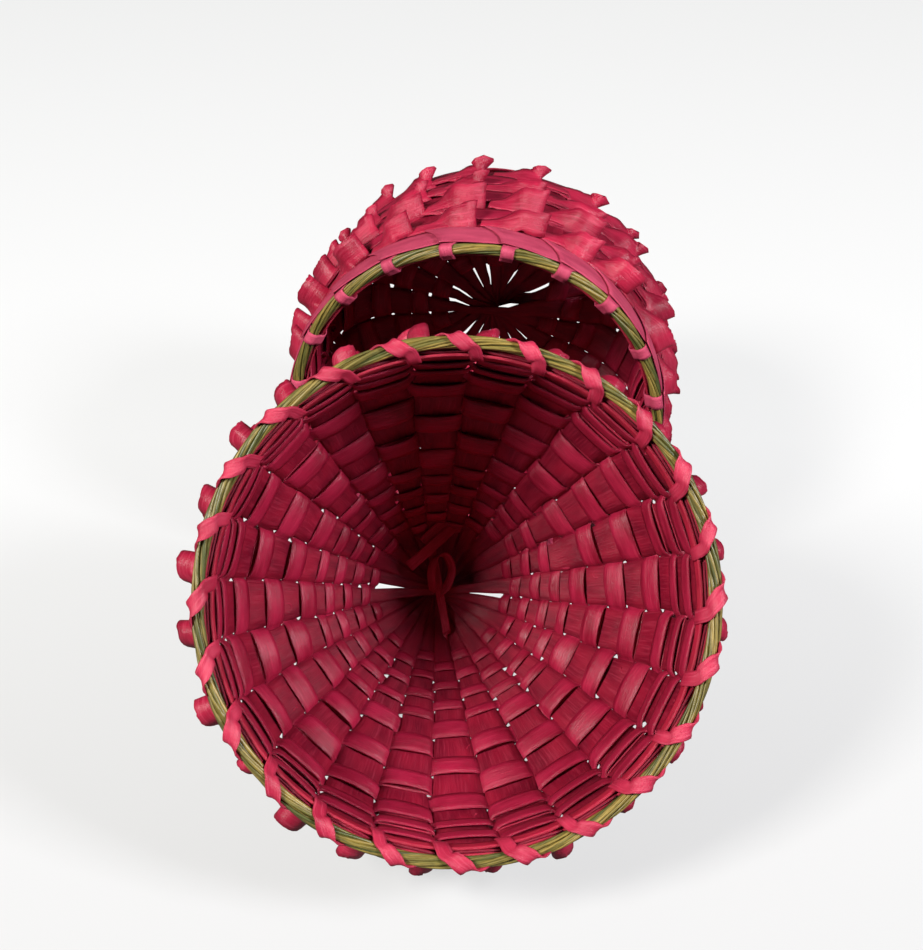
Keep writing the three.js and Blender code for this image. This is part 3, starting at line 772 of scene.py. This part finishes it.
def half_stake(piece, number, level, wide_rows):
    """One stake from the rim to near the centre: radius and depth, width and shift sideways."""
    s = np.arange(RIM_DROP, piece.length - STAKE_END, STAKE_STATION)
    push = np.zeros_like(s)
    for row, (middle, width) in enumerate(piece.rows[:wide_rows]):
        outside = (number + row) % 2 == 0
        near = np.exp(-((s - middle) / (width * SWAY_SHARE)) ** 2)
        push += near * (-STAKE_SWAY if outside else STAKE_SWAY)
    lap = STAR_LAP if number % 2 else -STAR_LAP
    push += lap * np.clip((s - piece.length + LAP_LENGTH) / LAP_LENGTH, 0, 1)
    r, z, tr, tz = piece.wall(s)
    on_wall = np.stack([r + tz * push, z - tr * push], -1)

    cross = piece.cross_radius
    blend = cross + piece.blend
    first = piece.edge[0] * 0.9 + blend * 0.1
    flat = star_depth(piece, cross) + level
    # From the wall's edge, over the blend, to the crossing on the stake's own level
    in_star = np.array([
        (first, star_depth(piece, first) + lap),
        (blend + 1.2, star_depth(piece, blend + 1.2) + 0.05 * level + lap),
        (cross + 1.4, star_depth(piece, cross + 1.4) * 0.35 + flat * 0.65),
        (cross - 0.6, flat),
        (cross * 0.55, flat),
    ])
    path = np.vstack([on_wall, in_star])
    left, right = piece.stake_at(number, RIM_DROP + path_lengths(path), path[:, 0])
    crossing = path[:, 0] <= cross - CROSS_INSET
    left = np.where(crossing, -piece.cross_width / 2, left)
    right = np.where(crossing, piece.cross_width / 2, right)
    return path, right - left, (right + left) / 2


def stakes(piece, wide_rows):
    """The splints: each is two stakes, and crosses the others on a level of its own."""
    half = piece.stakes // 2
    for index in range(half):
        angle = index * piece.step
        level = (index - (half - 1) / 2) * (STAKE_THICK + SEAT_GAP)
        near, near_wide, near_shift = half_stake(piece, index, level, wide_rows)
        far, far_wide, far_shift = half_stake(piece, index + half, level, wide_rows)
        centre = np.array([[0.0, near[-1, 1]]])
        profile = np.vstack([near, centre, far[::-1] * np.array([-1, 1])])
        wide = np.concatenate([near_wide, [piece.cross_width], far_wide[::-1]])
        aside = np.concatenate([near_shift, [0.0], -far_shift[::-1]])[:, None]
        point = np.stack([profile[:, 0] * math.cos(angle), profile[:, 0] * math.sin(angle),
                          profile[:, 1]], -1)
        side = np.tile([-math.sin(angle), math.cos(angle), 0.0], (len(point), 1))
        mesh = Mesh()
        mesh.strip(point + side * aside, side, wide, STAKE_THICK, False, fray=STAKE_FRAY)
        mesh.make(f"{piece.name}_stake_{index + 1}_splint", piece, STAKE,
                  [f"{piece.name}_splint_{index + 1}"])


# Rims

# How uneven a hoop and the grass are, and how far a binding stays off the grass, in millimetres,
# and where it goes round the grass, in degrees
RIM_DRIFT = 0.12
GRASS_UNEVEN = 0.13
BIND_GAP = 0.06
BIND_TURNS = (-165, -125, -80, -35)


def rim_hoop(piece, name, offset):
    """A flat hoop on one side of the stakes at the mouth."""
    s = RIM_DROP + piece.hoop_width / 2
    n = piece.stakes * 5
    angle = np.arange(n) * 2 * math.pi / n
    drift = smooth_noise(angle, 0.5, True) * RIM_DRIFT
    point, tangent, _ = piece.at(angle, s, offset + drift)
    mesh = Mesh()
    mesh.strip(point, tangent, piece.hoop_width, HOOP_THICK, True, crown=0.03, fray=0.12)
    mesh.make(f"{name}_splint", piece, HOOP, [name])


# The grass bundle: strands, how many of them lie in the inner ring round the one in the middle,
# how far from the middle they lie and how thick a strand is, in millimetres, and stations round.
# How a strand varies: its turn in radians, its thickness along it and from the others. The
# bundle is flattened to this share
GRASS_STRANDS = 17
GRASS_INNER = 6
GRASS_REACH = (0, 0.62, 1.16)
GRASS_STRAND = 0.42
GRASS_STATIONS = 260
GRASS_WANDER = 0.5
GRASS_SWELL = 0.22
GRASS_SIZES = (0.85, 1.1)
GRASS_FLAT = 0.95


def sweetgrass(piece, turns):
    """A bundle of strands that twist together so many times round the rim."""
    mesh = Mesh()
    angle = np.arange(GRASS_STATIONS) * 2 * math.pi / GRASS_STATIONS
    sizes = (1, GRASS_INNER, GRASS_STRANDS - 1 - GRASS_INNER)
    for k in range(GRASS_STRANDS):
        ring = 0 if k == 0 else (1 if k <= GRASS_INNER else 2)
        base = 2 * math.pi * k / sizes[ring]
        wander = smooth_noise(angle, 0.35, True) * GRASS_WANDER
        turn = base + turns * angle + wander
        spread = GRASS_REACH[ring] + smooth_noise(angle, 0.3, True) * GRASS_UNEVEN
        r = piece.rim_radius + spread * np.cos(turn)
        z = spread * np.sin(turn) * GRASS_FLAT
        uneven = 1 + GRASS_SWELL * smooth_noise(angle, 0.5, True)
        size = GRASS_STRAND * uneven * rng.uniform(*GRASS_SIZES)
        point = np.stack([r * np.cos(angle), r * np.sin(angle), z], -1)
        mesh.ring(point, size)
    mesh.make(f"{piece.name}_sweetgrass_strands", piece, GRASS,
              [f"{piece.name}_sweetgrass"])


def rim_path(piece):
    """Where a binding lies: inner foot, mouth, round the grass and out, as radius and depth."""
    half = LASH_THICK / 2
    foot = RIM_DROP + piece.hoop_width + SEAT_GAP + half
    foot_r, foot_z = (float(v) for v in piece.wall(foot)[:2])
    inside = STAKE_THICK / 2 + SEAT_GAP + HOOP_THICK + SEAT_GAP + half
    hug = GRASS_THICK / 2 + BIND_GAP + half
    mouth = piece.rim_radius - GRASS_OUTSET
    path = [(foot_r - inside + 0.4, foot_z), (mouth - inside, RIM_DROP + 0.6)]
    for degrees in BIND_TURNS:
        turn = math.radians(degrees)
        path.append((piece.rim_radius + hug * math.cos(turn), hug * math.sin(turn)))
    return path, foot_r, foot_z


# Share of a turn of the lashing that is done at each point of its path round the rim, its width in
# millimetres, the share by which that varies, and how far a turn wanders, in pitches
LASH_PROGRESS = (0.0, 0.03, 0.09, 0.19, 0.31, 0.43, 0.62, 1.0)
LASH_WIDTH = 4.0
LASH_SPREAD = (0.9, 1.1)
LASH_WANDER = 0.05


def lashing(piece, name, outside):
    """A strip that winds round the rim, one stake further at each turn."""
    path, foot_r, foot_z = rim_path(piece)
    path.append((piece.rim_radius + 0.9, RIM_DROP))
    path.append((foot_r + outside, foot_z))
    keys = []
    for i in range(piece.stakes):
        start = -(i + 0.5) * piece.step
        wander = rng.uniform(-LASH_WANDER, LASH_WANDER) * piece.step
        wide = LASH_WIDTH * rng.uniform(*LASH_SPREAD)
        for (r, z), share in zip(path, LASH_PROGRESS):
            middle = math.sin(math.pi * share)
            keys.append((r, z, start - share * piece.step + wander * middle,
                         wide * (0.8 + 0.2 * middle)))
    period = np.array([0, 0, -2 * math.pi, 0])
    r, z, angle, wide = smooth_path(keys, True, 4, period).T
    point = np.stack([r * np.cos(angle), r * np.sin(angle), z], -1)
    side = np.stack([-np.sin(angle), np.cos(angle), 0 * angle], -1)
    mesh = Mesh()
    mesh.strip(point, side, wide, LASH_THICK, True, crown=0.05, fray=0.07)
    mesh.make(f"{name}_splint", piece, BINDING, [name])


# A plate of the band: share of its height, left and right edge in pitches from its crossing
PLATE_SHAPE = (
    (0.0, -0.12, 0.62),
    (0.08, -0.13, 0.95),
    (0.3, -0.17, 1.04),
    (0.6, -0.27, 1.0),
    (0.85, -0.38, 0.86),
    (1.0, -0.44, 0.66),
)
PLATE_THICK = 0.3
PLATE_FLARE = (0.9, 1.1)
PLATE_TALL = (0.97, 1.05)
BAND_WIDTH = 3.7
BAND_SPREAD = (0.9, 1.12)
BAND_WANDER = 0.04

# How far a plate stands off the rim, in millimetres: everywhere, at the edge that laps over the
# next one, less at its top, and in the middle of its height
PLATE_LIFT = 0.15
PLATE_LAP = 0.75
PLATE_TUCK = 0.25
PLATE_BULGE = 0.35


def band(piece, name, outside):
    """The binding of the basket's rim: narrow over the grass, then fanned into lapped plates."""
    path, foot_r, foot_z = rim_path(piece)
    grass_r = path[-1][0]
    mesh = Mesh()
    shape = smooth_path(PLATE_SHAPE, False, 4)
    across = np.linspace(0, 1, 11)
    for i in range(piece.stakes):
        angle = (i + 0.5 + rng.uniform(-BAND_WANDER, BAND_WANDER)) * piece.step
        wide = BAND_WIDTH * rng.uniform(*BAND_SPREAD)
        keys = [(r, z, angle, wide) for r, z in path]
        keys.append((grass_r - 0.1, 1.2, angle + 0.01, wide * 1.1))
        keys.append((grass_r - 0.3, 2.6, angle + 0.03, wide * 1.2))
        r, z, turn, size = smooth_path(keys, False, 4).T
        point = np.stack([r * np.cos(turn), r * np.sin(turn), z], -1)
        side = np.stack([-np.sin(turn), np.cos(turn), 0 * turn], -1)
        mesh.strip(point, side, size, LASH_THICK, False, crown=0.05, fray=0.06)
        flare = rng.uniform(*PLATE_FLARE)
        tall = rng.uniform(*PLATE_TALL)
        rows = []
        for share, left, right in shape:
            turn = angle + (left * flare + (right - left * flare) * across) * piece.step
            lift = PLATE_LIFT + PLATE_LAP * (1 - across) ** 1.5 - PLATE_TUCK * (1 - share) ** 3
            bulge = PLATE_BULGE * math.sin(math.pi * share)
            r = grass_r + 0.25 + (foot_r + outside - grass_r) * share + lift + bulge
            z = 0.5 + (foot_z * tall - 0.5) * share + 0 * turn
            rows.append(np.stack([r * np.cos(turn), r * np.sin(turn), z], -1))
        mesh.sheet(np.array(rows), PLATE_THICK)
    mesh.make(f"{name}_splint", piece, PLATE, [name])


# The tie's strips, in millimetres. The arch inside the star: x and y in the lid's own frame, and
# depth from the loop's inner run. A tail: both its ends in x and y, its rise and its width
TIE_WIDTH = 2.4
TIE_ARCH = ((-1.6, 0.4, 0.6), (-2.2, -4.5, -2.0), (-0.8, -9.2, -3.0), (2.2, -9.8, -3.0),
            (3.8, -6.0, -2.2), (2.4, -1.6, -0.9), (0.0, 0.8, 0.4))
TIE_ARCH_WIDTH = 2.6
TIE_ARCH_SIDE = (0.75, -0.25, -0.6)
TIE_TAILS = (((-8.4, -7.2), (5.6, -18.6), 1.2, 3.1), ((-4.2, -14.0), (4.4, -21.4), 0.6, 2.7))
TAIL_DEPTH = 1.4
TAIL_STATIONS = 9


def tip_loop():
    """The tie at the point: a strip through the star, a small arch and two loose tails."""
    piece = LID
    levels = piece.stakes // 2
    stack = ((levels - 1) / 2) * (STAKE_THICK + SEAT_GAP) + STAKE_THICK / 2
    middle = star_depth(piece, piece.cross_radius)
    seat = SEAT_GAP + LASH_THICK / 2
    inner = middle - stack - seat - SEAT_GAP
    elbow = star_depth(piece, LOOP_REACH) - STAKE_THICK - SEAT_GAP - seat
    top = middle + stack + LOOP_HEIGHT
    angle = (levels / 2 - 0.5) * piece.step
    along = np.array([math.cos(angle), math.sin(angle), 0])
    across = np.array([-math.sin(angle), math.cos(angle), 0])
    # Half of the loop: reach from the middle, depth and turn in degrees
    keys = [(9.6, inner, 0), (12.0, elbow, 45), (LOOP_REACH, elbow + 0.7, 90),
            (LOOP_REACH, elbow + 4, 90), (12.4, elbow + 6, 45), (9.6, top - 3.4, 0),
            (4.75, top, 0)]
    keys += [(-u, z, -turn) for u, z, turn in reversed(keys)]
    values = smooth_path(keys, True, 5)
    point = values[:, :1] * along + values[:, 1:2] * np.array([0, 0, 1.0])
    turn = np.radians(values[:, 2])[:, None]
    side = across * np.cos(turn) + along * np.sin(turn)
    mesh = Mesh()
    mesh.strip(point, side, TIE_WIDTH, LASH_THICK, True, fray=0.08)
    arch = smooth_path([(x, y, inner + rise) for x, y, rise in TIE_ARCH], False, 5)
    side = np.tile(TIE_ARCH_SIDE, (len(arch), 1))
    mesh.strip(arch, side, TIE_ARCH_WIDTH, LASH_THICK, False, fray=0.1)
    share = np.linspace(0, 1, TAIL_STATIONS)[:, None]
    for start, end, rise, wide in TIE_TAILS:
        start = np.array(start)
        way = np.array(end) - start
        depth = piece.edge[1] - TAIL_DEPTH - rise * np.sin(math.pi * share)
        side = np.tile([-way[1], way[0], 0.0], (TAIL_STATIONS, 1))
        mesh.strip(np.hstack([start + way * share, depth]), side, wide, LASH_THICK, False,
                   crown=0.2, fray=0.1)
    mesh.make("lid_tip_loop_splint", piece, BINDING, ["lid_tip_loop"])


LID_WIDE = 10
BODY_WIDE = 7
hoops(LID, LID_WIDE)
hoops(BODY, BODY_WIDE)
chase(LID, LID_WIDE, ("tip_weaver_a", "tip_weaver_b"))
chase(BODY, BODY_WIDE, ("base_weaver_a", "base_weaver_b"))
stakes(LID, LID_WIDE)
stakes(BODY, BODY_WIDE)
HOOP_SEAT = STAKE_THICK / 2 + SEAT_GAP + HOOP_THICK / 2
rim_hoop(LID, "lid_inner_hoop", -HOOP_SEAT)
rim_hoop(LID, "lid_outer_hoop", HOOP_SEAT)
rim_hoop(BODY, "basket_inner_hoop", -HOOP_SEAT)
sweetgrass(LID, turns=7)
sweetgrass(BODY, turns=6)
lashing(LID, "lid_lashing", STAKE_THICK / 2 + 3 * SEAT_GAP + HOOP_THICK + LASH_THICK)
band(BODY, "basket_rim_binder", STAKE_THICK / 2 + SEAT_GAP + LASH_THICK)
tip_loop()


# Table, light and camera

# The stage's albedo for light and for the camera, its own glow there, the glow's share, and how
# strong it is from the front of the object to its back, in metres along y
STAGE_LIT = (0.12, 0.12, 0.125, 1)
STAGE_SEEN = (0.74, 0.745, 0.75, 1)
STAGE_GLOW = (0.94, 0.945, 0.94, 1)
GLOW_SHARE = 0.72
GLOW_FRONT = (-0.32, 0.62)
GLOW_BACK = (0.12, 1.08)


def stage_material():
    """Pale to the camera, darker to what it lights, so that the inside stays in shade."""
    material, tree, shader = nodes_of("pale_table")
    shader.inputs["Roughness"].default_value = 0.9
    shader.inputs["Specular IOR Level"].default_value = 0.0
    shader.inputs["Base Color"].default_value = STAGE_LIT
    seen = tree.nodes.new("ShaderNodeBsdfDiffuse")
    seen.inputs["Color"].default_value = STAGE_SEEN
    glow = tree.nodes.new("ShaderNodeEmission")
    glow.inputs["Color"].default_value = STAGE_GLOW
    place = tree.nodes.new("ShaderNodeSeparateXYZ")
    tree.links.new(tree.nodes.new("ShaderNodeNewGeometry").outputs["Position"],
                   place.inputs["Vector"])
    strength = ramp(tree, place.outputs["Y"], GLOW_FRONT[0], GLOW_BACK[0], GLOW_FRONT[1],
                    GLOW_BACK[1])
    tree.links.new(strength, glow.inputs["Strength"])
    blend = tree.nodes.new("ShaderNodeMixShader")
    blend.inputs["Fac"].default_value = GLOW_SHARE
    tree.links.new(seen.outputs["BSDF"], blend.inputs[1])
    tree.links.new(glow.outputs["Emission"], blend.inputs[2])
    choose = tree.nodes.new("ShaderNodeMixShader")
    tree.links.new(tree.nodes.new("ShaderNodeLightPath").outputs["Is Camera Ray"],
                   choose.inputs["Fac"])
    tree.links.new(shader.outputs["BSDF"], choose.inputs[1])
    tree.links.new(blend.outputs["Shader"], choose.inputs[2])
    tree.links.new(choose.outputs["Shader"], tree.nodes["Material Output"].inputs["Surface"])
    return material


# The table in metres: half width, front edge, where it starts to curve up, the curve's radius and
# parts, and the top of the backdrop
TABLE_HALF = 3.0
TABLE_FRONT = -2.2
CURVE_START = 0.9
CURVE_RADIUS = 0.8
CURVE_PARTS = 16
BACKDROP_TOP = 2.6


def sweep():
    """A seamless table that curves up far behind the object."""
    profile = [(TABLE_FRONT, 0.0), (CURVE_START, 0.0)]
    for k in range(1, CURVE_PARTS + 1):
        turn = math.pi / 2 * k / CURVE_PARTS
        profile.append((CURVE_START + CURVE_RADIUS * math.sin(turn),
                        CURVE_RADIUS - CURVE_RADIUS * math.cos(turn)))
    profile.append((CURVE_START + CURVE_RADIUS, BACKDROP_TOP))
    points = []
    faces = []
    for i, (y, z) in enumerate(profile):
        points += [(-TABLE_HALF, y, z), (TABLE_HALF, y, z)]
        if i:
            faces.append((2 * i - 2, 2 * i - 1, 2 * i + 1, 2 * i))
    mesh = bpy.data.meshes.new("table_sweep")
    mesh.from_pydata(points, [], faces)
    mesh.polygons.foreach_set("use_smooth", [True] * len(mesh.polygons))
    mesh.materials.append(stage_material())
    obj = bpy.data.objects.new("table_sweep", mesh)
    bpy.context.scene.collection.objects.link(obj)


LIGHT_SIZE = 0.3
LIGHT_TARGET = (0, -0.03, 0.05)


def area_light(name, place, power, colour):
    """A square soft box that faces the object. Power is in watts."""
    data = bpy.data.lights.new(name, "AREA")
    data.shape = "RECTANGLE"
    data.size = LIGHT_SIZE
    data.size_y = LIGHT_SIZE
    data.energy = power
    data.color = colour
    obj = bpy.data.objects.new(name, data)
    bpy.context.scene.collection.objects.link(obj)
    obj.location = place
    facing = Vector(LIGHT_TARGET) - Vector(place)
    obj.rotation_euler = facing.to_track_quat("-Z", "Y").to_euler()


sweep()
area_light("left_box", (-0.736, -0.654, 0.92), 23, (1.0, 0.97, 0.93))
area_light("right_box", (0.889, -0.564, 0.83), 20, (0.97, 0.96, 1.0))

world = bpy.data.worlds.new("studio")
bpy.context.scene.world = world
world.use_nodes = True
world.node_tree.nodes["Background"].inputs["Color"].default_value = (1, 1, 1, 1)
world.node_tree.nodes["Background"].inputs["Strength"].default_value = 0.012

# How far the camera looks down, in degrees
CAMERA_DOWN = 33
camera_data = bpy.data.cameras.new("camera")
camera_data.sensor_fit = "VERTICAL"
camera_data.sensor_height = 36
camera_data.lens = 60.25
camera = bpy.data.objects.new("camera", camera_data)
bpy.context.scene.collection.objects.link(camera)
camera.location = (0.00011, -0.36794, 0.30096)
camera.rotation_euler = (math.radians(90 - CAMERA_DOWN), 0, 0)
bpy.context.scene.camera = camera
bpy.context.scene.view_settings.view_transform = "Standard"
